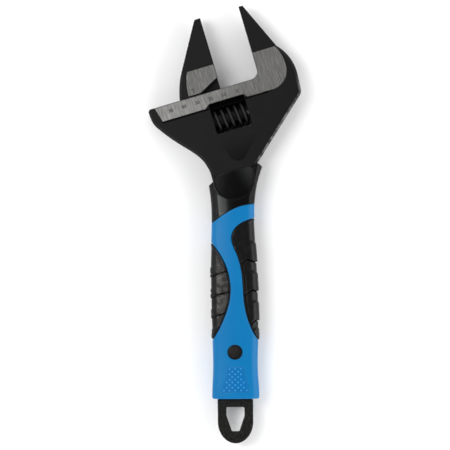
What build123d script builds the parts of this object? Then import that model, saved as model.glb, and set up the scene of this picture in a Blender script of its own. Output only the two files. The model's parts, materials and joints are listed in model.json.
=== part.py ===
from build123d import *
import os
from math import atan, ceil, cos, floor, pi, radians, sin, tan

# An adjustable wrench with a two-material grip, lying flat with its face up.
# Millimetres. The origin is the centre of the hanging hole, midway through the thickness.
# +Y runs along the handle to the jaws, +X to the fixed jaw's side, +Z out of the face.

# Layout of the handle
TAIL_LENGTH = 15.5  # hanging hole to the grip's lower end
GRIP_LENGTH = 143.8  # grip's lower end to the foot of the thumb scoop
NECK_RISE = 88.9  # foot of the thumb scoop to the throat
THROAT_OFFSET = 19.8  # throat to the handle's middle line
HEAD_ANGLE = 16.0  # tilt of the rail against a square across the handle, in degrees

# Jaws and their travel
OPENING = 29.2  # gap between the jaws as modelled
MAX_OPENING = 50.0
JAW_HEIGHT = 53.6  # tips above the rail
TIP_WIDTH = 2.9  # fixed jaw's tip
TIP_THICK = 6.0
BEAK_THICK = 16.8  # beaks where they leave the ground land
BEAK_ROOT = 2.0  # beaks sunk into the blocks that carry them
SHOULDER_RUN = 9.0  # fixed beak's foot to the widest point of the cheek
JAW_LENGTH = 31.1  # movable jaw along the rail
JAW_SHOULDER = 24.6  # movable beak's width where it leaves the land
JAW_SWELL = 0.9  # how far the movable jaw's back bulges past a straight line
NOSE_WIDTH = 4.2  # movable jaw's tip, and the slope behind it
NOSE_DROP = 4.2
NOSE_RUN = 2.6
RELIEF_LENGTH = 15.2  # relief in the movable jaw that clears the throat
RELIEF_HEIGHT = 8.6
THROAT_RADIUS = 6.5

# Forged head
HEAD_THICK = 18.0
HEAD_BEVEL = 1.6
CHEEK_WALL = 8.0  # steel past the end of the runner's bore
CHEEK_DROP = 6.0  # widest point of the cheek, below the rail
CHEEK_ROUND = 2.7  # cheek drawn in halfway up the land
CHEEK_FALL = 13.2  # straight from there down to the chin
CHIN_RADIUS = 6.0
JOWL_RUN = 7.5  # last bend of the head, from the neck's corner
JOWL_RISE = 6.4
RAIL_SPARE = 3.4  # rail past the jaw at its widest opening
RAIL_CORNER = 1.4
BELLY_LOW = (4.4, 16.3)  # belly beside the neck: out from its left edge, up from its foot
BELLY_MIDDLE = (13.8, 28.7)  # belly under the rail: in from the rail's end, below the rail
BELLY_HIGH = (3.3, 14.9)
NECK_DEPTH = 59.6  # throat to the grip's upper edge
NECK_COVER = 0.7  # neck's top above the grip's upper edge
NECK_RIGHT = 19.0  # neck's edges, from the throat back along the rail
NECK_LEFT = 53.9
NECK_RAMP = 17.0  # length over which the neck thins to the shank
DISH_TOP = 38.0  # shallow thumb dish under the window, below the rail
DISH_FOOT = 53.8
DISH_SINK = 0.8
DISH_LEFT = 1.3  # upper corners of the dish, from the window's walls
DISH_RIGHT = 2.7
DISH_POINT = 59.7  # where the dish's sides would meet, below the rail
DISH_LEAN = 6.1  # that point from the left corner, along the rail
DISH_ROUND = 6.5

# Ground land on both faces
LAND_RISE = 0.5
LAND_CHAMFER = 0.3
LAND_HEIGHT = 18.6  # top of the land, where the beaks start
LAND_DEPTH = 11.3  # foot of the land, below the rail
LAND_BORDER = 6.2  # black border at the cheek
LAND_SHOULDER = 1.0  # upper corner of the land, inside the fixed beak's foot
LAND_WIDEST = 1.5  # where the land is widest, above the rail
LAND_ROUND = 14.1  # run of the land's round corner under the cheek
LAND_STEP_LEFT = 3.0  # run of the land's slopes beside the window
LAND_STEP_RIGHT = 2.2
LAND_OVERLAP = 0.6  # left slope carried into the window
LAND_INSET = 4.7  # black wedge at the rail's end
LAND_SLANT = 3.1
JAW_LAND = 24.4  # land on the movable jaw, along the rail
JAW_LAND_LIFT = 0.7  # above the jaw's underside
JAW_LAND_LEAN = 4.0

# Runner and web of the movable jaw
RAIL_GAP = 0.15  # jaw above the rail
WEB_THICK = 6.4
WEB_CLEAR = 0.2
WEB_SETBACK = 0.4  # web behind the jaw's face
RUNNER_RADIUS = 6.3
RUNNER_CLEAR = 0.1
RUNNER_DEPTH = 9.2  # middle of the runner, below the rail
RACK_HELD = 9.3  # runner left over the worm's window at the widest opening
BORE_END_GAP = 1.0  # runner to the end of its bore, with the jaws shut

# Worm, rack and window
PITCH = 5.0
THREAD_DEPTH = 2.8
CREST_WIDTH = 1.4
FLANK_ANGLE = 14.5
THREAD_PHASE = 1.7  # first thread crest past the worm's end
WORM_LENGTH = 24.6
WORM_WALL = 1.45  # worm round the spring's pocket
WORM_CHAMFER = 1.0
WORM_END_GAP = 0.35
MESH_DEPTH = 2.1  # thread crests past the tooth tips
ROOT_CLEAR = 0.45
BACKLASH = 0.2  # on each flank
WINDOW_START = 41.3  # far wall of the window, from the throat along the rail
WINDOW_CLEAR = 0.5
WINDOW_LIP = 0.6  # window's top above the runner's middle
WINDOW_CORNER = 1.2

# Worm pin and take-up spring
PIN_RADIUS = 2.6
PIN_FIT = 0.02
PIN_RUN = 0.06  # worm on its pin
PIN_SEAT = 8.0  # pin into the far wall
PIN_HEAD_RADIUS = 3.7
PIN_HEAD_LENGTH = 4.2
PIN_HEAD_CLEAR = 0.3
PIN_RECESS = 5.6  # pin's head inside the sloping edge of the head
PIN_CHAMFER = 0.5
DRIVE_WIDTH = 1.0
DRIVE_DEPTH = 1.6
WIRE_RADIUS = 0.45
SPRING_TURNS = 4
WIRE_SIDES = 6
SPRING_POCKET = 7.4
SPRING_ROOM = 1.6  # between the worm's end and the window's wall
SPRING_CLEAR = 0.25
SPRING_OVER_PIN = 0.6

# Shank and tail
SHANK_WIDTH = 23.0
SHANK_THICK = 9.0
TAIL_WIDTH = 25.8
TAIL_GAP = 0.7  # tail's shoulders below the grip
TAIL_END = 17.5  # hanging hole's centre to the end
TAIL_ROUND = 15.8  # height of the rounded end
TAIL_CORNER = 1.4
TAIL_EDGE = 1.0
HOLE_WIDTH = 13.0
HOLE_FOOT = 5.4
HOLE_HEIGHT = 17.8
HOLE_SHOULDER = 2.3  # where the hole starts to narrow, above its centre
HOLE_CORNER = 1.1

# Grip
GRIP_CORNER = 5.0
GRIP_EDGE = 1.2
GRIP_FIT = 0.15
SKIN = 2.4  # thickness of the soft panels
SEAM = 0.4  # gap between a soft panel and its bed
GROOVE_DEPTH = 0.7
GROOVE_WIDTH = 1.0
COLLAR_STEP = 3.5  # collar's shoulder beside the neck, below its upper edge, at the left
COLLAR_LEFT = (4.0, 1.9)  # run and fall of that shoulder
COLLAR_RIGHT = (5.8, 9.2)  # run and fall of the shoulder at the right
COLLAR_SPARE = 6.7  # grip's form above the collar's upper edge, cut away
TONGUE = 3.6  # top of the sleeve's tongue under the collar, below the scoop's foot
SCOOP_RADIUS = 14.4
SCOOP_SKIN = 0.7  # collar over the neck at its upper edge
SCOOP_FALL = 1.6  # how far the scoop's floor sinks towards its foot
PLUG_HEIGHT = 33.5  # above the grip's lower end
PLUG_RADIUS = 5.2
PLUG_STEM = 3.2
PLUG_DOME = 0.35
WAIST_WALL = 6.6  # grip in front of the shank at the plug
PATCH_FOOT = 4.3  # dimple patch above the grip's lower end
PATCH_HEIGHT = 18.5
PATCH_WIDTH = 20.0
PATCH_TOP = 11.6
PATCH_CORNER = 1.5

# Worked out from the sizes above
GRIP_TOP = TAIL_LENGTH + GRIP_LENGTH
PALM = GRIP_LENGTH - PLUG_HEIGHT
COLLAR_RISE = NECK_RISE - NECK_DEPTH + COLLAR_SPARE
RAIL_LENGTH = MAX_OPENING + JAW_LENGTH + RAIL_SPARE
RUNNER_REACH = MAX_OPENING - WINDOW_START + RACK_HELD
BORE_END = RUNNER_REACH + BORE_END_GAP
CHEEK_REACH = BORE_END + CHEEK_WALL
BEAK_FOOT = CHEEK_REACH - SHOULDER_RUN
SPRING_RADIUS = PIN_RADIUS + SPRING_OVER_PIN + WIRE_RADIUS
POCKET_RADIUS = SPRING_RADIUS + WIRE_RADIUS + SPRING_CLEAR
WORM_ROOT = POCKET_RADIUS + WORM_WALL
WORM_RADIUS = WORM_ROOT + THREAD_DEPTH
WORM_DEPTH = RUNNER_DEPTH + RUNNER_RADIUS + WORM_RADIUS - MESH_DEPTH
WORM_START = -WINDOW_START + WORM_END_GAP
WINDOW_END = WORM_START + WORM_LENGTH + SPRING_ROOM
WINDOW_TOP = RUNNER_DEPTH - WINDOW_LIP
WINDOW_FOOT = WORM_DEPTH + WORM_RADIUS + WINDOW_CLEAR
FLANK = tan(radians(FLANK_ANGLE))
PLUG_Y = TAIL_LENGTH + PLUG_HEIGHT
FAR = GRIP_LENGTH + NECK_RISE  # longer than any piece, for cuts that run right through

# Outer form of the grip: distance below the scoop's foot, and the wall over the shank
# at the left, at the right and in front
GRIP_SECTIONS = [
    (-COLLAR_RISE, 10.6, 12.6, 7.5),
    (-COLLAR_RISE / 2, 7.9, 7.1, 7.5),
    (0.0, 5.0, 3.5, 7.1),
    (0.18 * PALM, 4.6, 3.2, 6.8),
    (0.41 * PALM, 5.5, 4.4, 7.4),
    (0.64 * PALM, 5.5, 5.3, 7.5),
    (0.82 * PALM, 5.1, 5.4, 7.1),
    (PALM, 4.5, 4.7, WAIST_WALL),
    (PALM + PLUG_HEIGHT / 2, 4.6, 4.7, WAIST_WALL),
    (GRIP_LENGTH, 5.3, 5.4, 6.8),
]

# Edges between the sleeve and the soft pieces: share of the palm's length, and place across
WAVE = [(0.055, 30.0), (0.029, 11.0), (0.052, 1.4), (0.103, -8.6), (0.152, -16.0), (0.22, -30.0)]
RIGHT_EDGE = [
    (0.105, 22.0),
    (0.128, 11.0),
    (0.167, 2.8),
    (0.232, -1.8),
    (0.363, 2.2),
    (0.508, 5.6),
    (0.653, 6.6),
    (0.78, 9.0),
    (0.961, 20.0),
]
LEFT_EDGE = [(0.24, -20.0), (0.33, -12.0), (0.435, -5.9), (0.598, -2.8), (0.743, -6.1), (0.961, -19.0)]

# Grooves across the soft panels: share of the palm's length, and where each starts
CHEVRONS = [(0.39, 9.0), (0.59, 12.4), (0.79, 14.6)]
BARS = [(0.49, -7.5), (0.617, -6.0), (0.752, -9.5)]
CHEVRON_DROP = 3.4
CHEVRON_WING = 4.0
CHEVRON_SLANT = 8.0
BAR_SLANT = 1.3

rail_way = (cos(radians(HEAD_ANGLE)), sin(radians(HEAD_ANGLE)), 0)
jaw_way = (-sin(radians(HEAD_ANGLE)), cos(radians(HEAD_ANGLE)), 0)
head = Plane((THROAT_OFFSET, GRIP_TOP + NECK_RISE, 0), x_dir=rail_way, z_dir=(0, 0, 1))
jaw = Plane(head.from_local_coords((-OPENING, 0, 0)), x_dir=rail_way, z_dir=(0, 0, 1))


def across_rail(u, v=0.0):
    """A plane square to the rail: its first axis points to the jaw tips, its second out of the face."""
    return Plane(head.from_local_coords((u, v, 0)), x_dir=jaw_way, z_dir=rail_way)


def on_head(x, y):
    """A point of the handle, in the head's own two axes."""
    point = head.to_local_coords((x, y, 0))
    return (point.X, point.Y)


def below(drop, x):
    """A point of the grip, at a distance below the scoop's foot."""
    return (x, GRIP_TOP - drop)


def face_wedges(points):
    """A wedge along the whole rail from an outline square to it, and its mirror image on the other face."""
    with BuildPart() as wedges:
        with BuildSketch(across_rail(-FAR)):
            with BuildLine():
                Polyline(points, close=True)
            make_face()
        extrude(amount=2 * FAR)
        mirror(about=Plane.XY)
    return wedges.part


# Corners of the head's outline
neck_top = -NECK_DEPTH + NECK_COVER
neck_right = (-NECK_RIGHT, neck_top)
neck_left = (-NECK_LEFT, neck_top)
jowl = Vector(-NECK_RIGHT + JOWL_RUN, neck_top + JOWL_RISE)
cheek = Vector(CHEEK_REACH, -CHEEK_DROP)
shoulder = ThreePointArc((BEAK_FOOT, LAND_HEIGHT), (CHEEK_REACH - CHEEK_ROUND, LAND_HEIGHT / 2), cheek)
chin = cheek + (shoulder % 1) * CHEEK_FALL

# Ends of the worm's pin: in the far wall, and inside the sloping edge of the head
PIN_TIP = -WINDOW_START - PIN_SEAT
PIN_END = chin.X - (WORM_DEPTH + chin.Y) * (chin.X - jowl.X) / (chin.Y - jowl.Y) - PIN_RECESS


def neck_and_shank(clear):
    """The steel inside the grip, or the space for it where clear is more than nothing."""
    half = SHANK_WIDTH / 2
    thick = SHANK_THICK / 2 + clear
    face = HEAD_THICK / 2 + clear
    with BuildPart() as steel:
        with BuildSketch(head):
            with BuildLine():
                Polyline(neck_right, on_head(half, GRIP_TOP), on_head(-half, GRIP_TOP), neck_left, close=True)
            make_face()
            if clear > 0:
                offset(amount=clear, kind=Kind.INTERSECTION)
        extrude(amount=face, both=True)
        ramp = [
            (-NECK_DEPTH, face),
            (-NECK_DEPTH - NECK_RAMP, thick),
            (-FAR, thick),
            (-FAR, 2 * face),
            (-NECK_DEPTH, 2 * face),
        ]
        add(face_wedges(ramp), mode=Mode.SUBTRACT)
        with BuildSketch(Plane.XY):
            with Locations((0, TAIL_LENGTH - 2 * TAIL_GAP)):
                width = SHANK_WIDTH + 2 * clear
                Rectangle(width, GRIP_LENGTH + 4 * TAIL_GAP, align=(Align.CENTER, Align.MIN))
        extrude(amount=thick, both=True)
    return steel.part


def beak(plane, points):
    """A jaw's beak from its outline, thinned on both faces from the land to the tip."""
    thinning = [
        (LAND_HEIGHT, BEAK_THICK / 2),
        (JAW_HEIGHT, TIP_THICK / 2),
        (2 * JAW_HEIGHT, TIP_THICK / 2),
        (2 * JAW_HEIGHT, HEAD_THICK),
        (LAND_HEIGHT, HEAD_THICK),
    ]
    with BuildPart() as form:
        with BuildSketch(plane):
            with BuildLine():
                Polyline(points, close=True)
            make_face()
        extrude(amount=BEAK_THICK / 2, both=True)
        add(face_wedges(thinning), mode=Mode.SUBTRACT)
    return form.part


def thumb_dish():
    """The shallow dish under the window on both faces, deepest at its rounded foot."""
    face = HEAD_THICK / 2
    with BuildPart() as dish:
        add(face_wedges([(-DISH_TOP, face), (-DISH_FOOT, face - DISH_SINK), (-NECK_DEPTH, face)]))
        with BuildSketch(head) as rim:
            with BuildLine():
                left = -WINDOW_START + DISH_LEFT
                right = WINDOW_END + DISH_RIGHT
                Polyline((left, -DISH_TOP), (left + DISH_LEAN, -DISH_POINT), (right, -DISH_TOP), close=True)
            make_face()
            fillet(rim.vertices().sort_by(Axis.Y)[0], DISH_ROUND)
        extrude(amount=HEAD_THICK, both=True, mode=Mode.INTERSECT)
    return dish.part


def ground_land(plan, outline, plane):
    """The bare ground pads on both faces: the part of a plan that lies inside the land's outline."""
    with BuildPart() as pads:
        with BuildSketch(plane.offset(HEAD_THICK / 2)):
            add(plan)
            add(outline, mode=Mode.INTERSECT)
        extrude(amount=LAND_RISE)
        chamfer(faces().sort_by(Axis.Z)[-1].edges(), LAND_CHAMFER)
        mirror(about=Plane.XY)
    return pads.part


def rack_spaces():
    """The spaces between the rack's teeth, a thread pitch apart and slanted like the thread."""
    slant = atan(PITCH / (2 * pi * (WORM_RADIUS - MESH_DEPTH / 2)))
    along = head.x_dir * sin(slant) + head.z_dir * cos(slant)
    square = head.x_dir * cos(slant) - head.z_dir * sin(slant)
    crest = CREST_WIDTH / 2 + BACKLASH
    narrow = crest - ROOT_CLEAR * FLANK
    wide = crest + 2 * MESH_DEPTH * FLANK
    top = WORM_RADIUS + ROOT_CLEAR
    foot = WORM_RADIUS - 2 * MESH_DEPTH
    first = WORM_START + THREAD_PHASE
    low = ceil((-OPENING - JAW_LENGTH - first) / PITCH)
    high = floor((-OPENING + RUNNER_REACH - first) / PITCH)
    with BuildPart() as spaces:
        for number in range(low, high + 1):
            middle = head.from_local_coords((first + number * PITCH, -WORM_DEPTH, 0))
            with BuildSketch(Plane(middle, x_dir=square, z_dir=along)):
                with BuildLine():
                    Polyline((narrow, top), (-narrow, top), (-wide, foot), (wide, foot), close=True)
                make_face()
            extrude(amount=2 * RUNNER_RADIUS, both=True)
    return spaces.part


def tail():
    """The tail with its hanging hole and softened edges."""
    turn = TAIL_ROUND - TAIL_END
    shoulder = TAIL_LENGTH - TAIL_GAP
    half = TAIL_WIDTH / 2
    with BuildPart() as loop:
        with BuildSketch(Plane.XY) as plan:
            with BuildLine():
                Polyline((-half, turn), (-half, shoulder), (half, shoulder), (half, turn))
                EllipticalCenterArc((0, turn), half, TAIL_ROUND, start_angle=180, arc_size=180)
            make_face()
            fillet(plan.vertices().group_by(Axis.Y)[-1], TAIL_CORNER)
        extrude(amount=SHANK_THICK / 2, both=True)
        with BuildSketch(Plane.XY) as hole:
            with BuildLine():
                Polyline(
                    (-HOLE_WIDTH / 2, HOLE_HEIGHT / 2),
                    (HOLE_WIDTH / 2, HOLE_HEIGHT / 2),
                    (HOLE_WIDTH / 2, HOLE_SHOULDER),
                    (HOLE_FOOT / 2, -HOLE_HEIGHT / 2),
                    (-HOLE_FOOT / 2, -HOLE_HEIGHT / 2),
                    (-HOLE_WIDTH / 2, HOLE_SHOULDER),
                    close=True,
                )
            make_face()
            fillet(hole.vertices(), HOLE_CORNER)
        extrude(amount=SHANK_THICK, both=True, mode=Mode.SUBTRACT)
        flats = faces().filter_by(Plane.XY)
        fillet(flats.edges(), TAIL_EDGE)
    return loop.part


# Outline of the movable jaw's ground land, cut off by the relief
with BuildSketch() as jaw_land:
    with BuildLine():
        low_back = (-JAW_LAND, RAIL_GAP + JAW_LAND_LIFT)
        high_back = (-JAW_LAND + JAW_LAND_LEAN, LAND_HEIGHT)
        Polyline(
            high_back,
            (0, LAND_HEIGHT),
            (0, RELIEF_HEIGHT),
            (-RELIEF_LENGTH, RAIL_GAP + JAW_LAND_LIFT),
            low_back,
        )
        TangentArc(low_back, high_back, tangent=(0, 1))
    make_face()

# Outline of the head's ground land, stepped round the worm's window
with BuildSketch() as head_land:
    with BuildLine():
        land_end = -RAIL_LENGTH + LAND_INSET
        land_side = CHEEK_REACH - LAND_BORDER
        round_start = (land_side - LAND_ROUND, -LAND_DEPTH)
        land_top = (BEAK_FOOT - LAND_SHOULDER, LAND_HEIGHT)
        Polyline(
            land_top,
            (land_end, LAND_HEIGHT),
            (land_end, 0),
            (land_end + LAND_SLANT, -LAND_DEPTH),
            (-WINDOW_START - LAND_STEP_LEFT, -LAND_DEPTH),
            (-WINDOW_START + LAND_OVERLAP, -WINDOW_TOP),
            (WINDOW_END, -WINDOW_TOP),
            (WINDOW_END + LAND_STEP_RIGHT, -LAND_DEPTH),
            round_start,
        )
        under_cheek = TangentArc(round_start, (land_side, LAND_WIDEST), tangent=(1, 0))
        TangentArc(under_cheek @ 1, land_top, tangent=under_cheek % 1)
    make_face()

# Forging: head with the fixed jaw and rail, shank, and tail with the hanging hole
with BuildPart() as body:
    with BuildSketch(head) as head_plan:
        with BuildLine():
            Polyline((0, THROAT_RADIUS), (0, LAND_HEIGHT), (BEAK_FOOT, LAND_HEIGHT))
            add(shoulder)
            Line(cheek, chin)
            slope = Line(chin, jowl)
            TangentArc(jowl, neck_right, tangent=slope % 1)
            Line(neck_right, neck_left)
            belly = Spline(
                neck_left,
                (-NECK_LEFT - BELLY_LOW[0], -NECK_DEPTH + BELLY_LOW[1]),
                (-RAIL_LENGTH + BELLY_MIDDLE[0], -BELLY_MIDDLE[1]),
                (-RAIL_LENGTH + BELLY_HIGH[0], -BELLY_HIGH[1]),
                (-RAIL_LENGTH, -RAIL_CORNER),
                tangents=[(0, 1), (0, 1)],
            )
            Polyline(belly @ 1, (-RAIL_LENGTH + RAIL_CORNER, 0), (-THROAT_RADIUS, 0))
            CenterArc((-THROAT_RADIUS, THROAT_RADIUS), THROAT_RADIUS, 270, 90)
        make_face()
        fillet(head_plan.vertices().sort_by_distance(chin)[0], CHIN_RADIUS)
    extrude(amount=HEAD_THICK / 2, both=True)
    # Bevel along the outside of the head, from the fixed beak round to the neck and the rail's end
    rims = edges().filter_by(Plane.XY).group_by(Axis.Z)
    outside = []
    for edge in rims[0] + rims[-1]:
        middle = head.to_local_coords(edge.center())
        beside_land = middle.X > BEAK_FOOT
        under_land = neck_top + NECK_COVER < middle.Y < -LAND_DEPTH
        if beside_land or under_land:
            outside.append(edge)
    chamfer(outside, HEAD_BEVEL)
    fixed_beak = [
        (0, LAND_HEIGHT - BEAK_ROOT),
        (0, JAW_HEIGHT),
        (TIP_WIDTH, JAW_HEIGHT),
        (BEAK_FOOT, LAND_HEIGHT),
        (BEAK_FOOT - BEAK_ROOT, LAND_HEIGHT - BEAK_ROOT),
    ]
    add(beak(head, fixed_beak))
    add(ground_land(head_plan.sketch_local, head_land.sketch_local, head))
    # Bore and slot for the movable jaw's runner and web, open at the rail's end
    with BuildSketch(across_rail(-FAR, -RUNNER_DEPTH)):
        Circle(RUNNER_RADIUS + RUNNER_CLEAR)
    extrude(amount=FAR + BORE_END, mode=Mode.SUBTRACT)
    with BuildSketch(across_rail(-FAR, -RUNNER_DEPTH)):
        slot_height = RUNNER_DEPTH + 2 * THROAT_RADIUS
        Rectangle(slot_height, WEB_THICK + 2 * WEB_CLEAR, align=(Align.MIN, Align.CENTER))
    extrude(amount=FAR, mode=Mode.SUBTRACT)
    # Window for the worm
    with BuildSketch(head):
        with Locations((-WINDOW_START, -WINDOW_FOOT)):
            width = WINDOW_END + WINDOW_START
            RectangleRounded(width, WINDOW_FOOT - WINDOW_TOP, WINDOW_CORNER, align=Align.MIN)
    extrude(amount=HEAD_THICK, both=True, mode=Mode.SUBTRACT)
    # Hole for the worm's pin, with a recess for its head
    with BuildSketch(across_rail(PIN_TIP - PIN_FIT, -WORM_DEPTH)):
        Circle(PIN_RADIUS + PIN_FIT)
    extrude(amount=FAR, mode=Mode.SUBTRACT)
    with BuildSketch(across_rail(PIN_END - PIN_HEAD_LENGTH, -WORM_DEPTH)):
        Circle(PIN_HEAD_RADIUS + PIN_HEAD_CLEAR)
    extrude(amount=FAR, mode=Mode.SUBTRACT)
    add(thumb_dish(), mode=Mode.SUBTRACT)
    add(neck_and_shank(0))
    add(tail())
    # Hole that the grip's plug passes through
    with Locations((0, PLUG_Y, 0)):
        Cylinder(PLUG_STEM + GRIP_FIT, 2 * SHANK_THICK, mode=Mode.SUBTRACT)

# Movable jaw: beak and block above the rail, web through the slot, runner with its rack
with BuildPart() as movable_jaw:
    with BuildSketch(jaw) as jaw_plan:
        with BuildLine():
            Polyline(
                (-JAW_LENGTH, RAIL_GAP),
                (-RELIEF_LENGTH, RAIL_GAP),
                (0, RELIEF_HEIGHT),
                (0, LAND_HEIGHT),
                (-JAW_SHOULDER, LAND_HEIGHT),
            )
            swell = (-(JAW_SHOULDER + JAW_LENGTH) / 2 - JAW_SWELL, LAND_HEIGHT / 2)
            ThreePointArc((-JAW_SHOULDER, LAND_HEIGHT), swell, (-JAW_LENGTH, RAIL_GAP))
        make_face()
    extrude(amount=HEAD_THICK / 2, both=True)
    rims = edges().filter_by(Plane.XY).group_by(Axis.Z)
    back = []
    for edge in rims[0] + rims[-1]:
        middle = jaw.to_local_coords(edge.center())
        if middle.X < -JAW_SHOULDER and middle.Y > RAIL_GAP:
            back.append(edge)
    chamfer(back, HEAD_BEVEL)
    moving_beak = [
        (0, LAND_HEIGHT - BEAK_ROOT),
        (0, JAW_HEIGHT),
        (-NOSE_WIDTH, JAW_HEIGHT),
        (-NOSE_WIDTH - NOSE_RUN, JAW_HEIGHT - NOSE_DROP),
        (-JAW_SHOULDER, LAND_HEIGHT),
        (-JAW_SHOULDER + BEAK_ROOT, LAND_HEIGHT - BEAK_ROOT),
    ]
    add(beak(jaw, moving_beak))
    add(ground_land(jaw_plan.sketch_local, jaw_land.sketch_local, jaw))
    with BuildSketch(jaw):
        with BuildLine():
            Polyline(
                (-JAW_LENGTH + WEB_SETBACK, -RUNNER_DEPTH),
                (-WEB_SETBACK, -RUNNER_DEPTH),
                (-WEB_SETBACK, RELIEF_HEIGHT),
                (-RELIEF_LENGTH, RELIEF_HEIGHT),
                (-JAW_LENGTH + WEB_SETBACK, RAIL_GAP),
                close=True,
            )
        make_face()
    extrude(amount=WEB_THICK / 2, both=True)
    with BuildSketch(across_rail(-OPENING - JAW_LENGTH + WEB_SETBACK, -RUNNER_DEPTH)):
        Circle(RUNNER_RADIUS)
    extrude(amount=JAW_LENGTH - WEB_SETBACK + RUNNER_REACH)
    add(rack_spaces(), mode=Mode.SUBTRACT)

# Worm, made upright on its own axis and then laid along the rail under the rack
with BuildPart() as thread:
    with BuildLine() as thread_path:
        Helix(PITCH, WORM_LENGTH + 2 * PITCH, WORM_ROOT, center=(0, 0, THREAD_PHASE - PITCH))
    with BuildSketch(Plane.XZ):
        with BuildLine():
            sunk = WORM_ROOT - THREAD_DEPTH / 4
            foot = CREST_WIDTH / 2 + (WORM_RADIUS - sunk) * FLANK
            start = THREAD_PHASE - PITCH
            Polyline(
                (sunk, start - foot),
                (WORM_RADIUS, start - CREST_WIDTH / 2),
                (WORM_RADIUS, start + CREST_WIDTH / 2),
                (sunk, start + foot),
                close=True,
            )
        make_face()
    sweep(path=thread_path.line, is_frenet=True)
    # Bevelled ends
    with BuildSketch(Plane.XZ):
        with BuildLine():
            Polyline(
                (0, 0),
                (WORM_RADIUS - WORM_CHAMFER, 0),
                (WORM_RADIUS + WORM_CHAMFER, 2 * WORM_CHAMFER),
                (WORM_RADIUS + WORM_CHAMFER, WORM_LENGTH - 2 * WORM_CHAMFER),
                (WORM_RADIUS - WORM_CHAMFER, WORM_LENGTH),
                (0, WORM_LENGTH),
                close=True,
            )
        make_face()
    revolve(axis=Axis.Z, mode=Mode.INTERSECT)
with BuildPart() as worm_form:
    Cylinder(WORM_ROOT, WORM_LENGTH, align=(Align.CENTER, Align.CENTER, Align.MIN))
    add(thread.part)
    Cylinder(PIN_RADIUS + PIN_RUN, 2 * WORM_LENGTH, mode=Mode.SUBTRACT)
    with BuildSketch(Plane.XY.offset(WORM_LENGTH - SPRING_POCKET)):
        Circle(POCKET_RADIUS)
    extrude(amount=WORM_LENGTH, mode=Mode.SUBTRACT)
with BuildPart(across_rail(WORM_START, -WORM_DEPTH)) as worm:
    add(worm_form.part)

# Pin that the worm turns on, with a slotted head
with BuildPart(across_rail(PIN_TIP, -WORM_DEPTH)) as worm_pin:
    Cylinder(PIN_RADIUS, PIN_END - PIN_TIP, align=(Align.CENTER, Align.CENTER, Align.MIN))
    chamfer(edges().sort_by(Axis((0, 0, 0), rail_way))[0], PIN_CHAMFER)
    with BuildSketch(across_rail(PIN_END, -WORM_DEPTH)):
        Circle(PIN_HEAD_RADIUS)
    extrude(amount=-PIN_HEAD_LENGTH + PIN_FIT)
    with BuildSketch(across_rail(PIN_END, -WORM_DEPTH)):
        Rectangle(DRIVE_WIDTH, 3 * PIN_HEAD_RADIUS)
    extrude(amount=-DRIVE_DEPTH, mode=Mode.SUBTRACT)

# Spring in the worm's end that takes up its play against the window's wall
spring_length = SPRING_POCKET + SPRING_ROOM - 2 * SPRING_CLEAR
spring_pitch = (spring_length - 2 * WIRE_RADIUS) / SPRING_TURNS
with BuildPart() as spring_form:
    with BuildLine() as wire:
        Helix(spring_pitch, SPRING_TURNS * spring_pitch, SPRING_RADIUS, center=(0, 0, WIRE_RADIUS))
    with BuildSketch(Plane(wire.line @ 0, x_dir=(1, 0, 0), z_dir=wire.line % 0)):
        RegularPolygon(WIRE_RADIUS, WIRE_SIDES)
    sweep(path=wire.line, is_frenet=True)
turn_steps = 24
steps = SPRING_TURNS * turn_steps
along_wire = [wire.line @ (step / steps) for step in range(steps + 1)]
spans = [(b - a).length for i, a in enumerate(along_wire) for b in along_wire[i + turn_steps // 2 :]]
print("least gap between the spring's turns", round(min(spans) - 2 * WIRE_RADIUS, 2))
with BuildPart(across_rail(WINDOW_END - SPRING_CLEAR - spring_length, -WORM_DEPTH)) as worm_spring:
    add(spring_form.part)


def grip_form(inset):
    """The grip's outer form, drawn in all round by an inset."""
    with BuildPart() as form:
        for drop, left, right, front in reversed(GRIP_SECTIONS):
            width = SHANK_WIDTH + left + right - 2 * inset
            thick = SHANK_THICK + 2 * front - 2 * inset
            with BuildSketch(Plane(below(drop, (right - left) / 2), x_dir=(1, 0, 0), z_dir=(0, 1, 0))):
                RectangleRounded(width, thick, GRIP_CORNER - inset)
        loft()
    return form.part


def grip_edge(edge, side, seam):
    """A soft panel's outline from its inner edge, drawn in by a seam, out past one side of the grip."""
    middle = (edge[0][0] + edge[-1][0]) / 2
    reach = (edge[-1][0] - edge[0][0]) / 2
    points = []
    for share, across in edge:
        drawn_in = seam * (middle - share) / reach
        points.append(below(share * PALM + drawn_in, across + side * seam))
    outer = side * FAR
    with BuildSketch() as outline:
        with BuildLine():
            inner = Spline(*points)
            Polyline(inner @ 1, (outer, (inner @ 1).Y), (outer, (inner @ 0).Y), inner @ 0)
        make_face()
    return outline.sketch


def prism(outline):
    """An outline on the grip's face carried right through the grip."""
    with BuildPart() as block:
        with BuildSketch(Plane.XY):
            add(outline)
        extrude(amount=FAR, both=True)
    return block.part


grip_outer = grip_form(0)
grip_core = grip_form(SKIN)
grip_groove = grip_form(GROOVE_DEPTH)
steel_space = neck_and_shank(GRIP_FIT)


def surface_cut(outline):
    """What a shallow recess of an outline takes off the grip's surface."""
    with BuildPart() as cut:
        add(prism(outline))
        add(grip_groove, mode=Mode.SUBTRACT)
    return cut.part


def sleeve_core():
    """The sleeve's core: the form under the soft pieces, up to the tongue under the collar."""
    with BuildPart() as core:
        add(grip_core)
        split(bisect_by=Plane(below(TONGUE, 0), z_dir=(0, -1, 0)))
    return core.part


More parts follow.
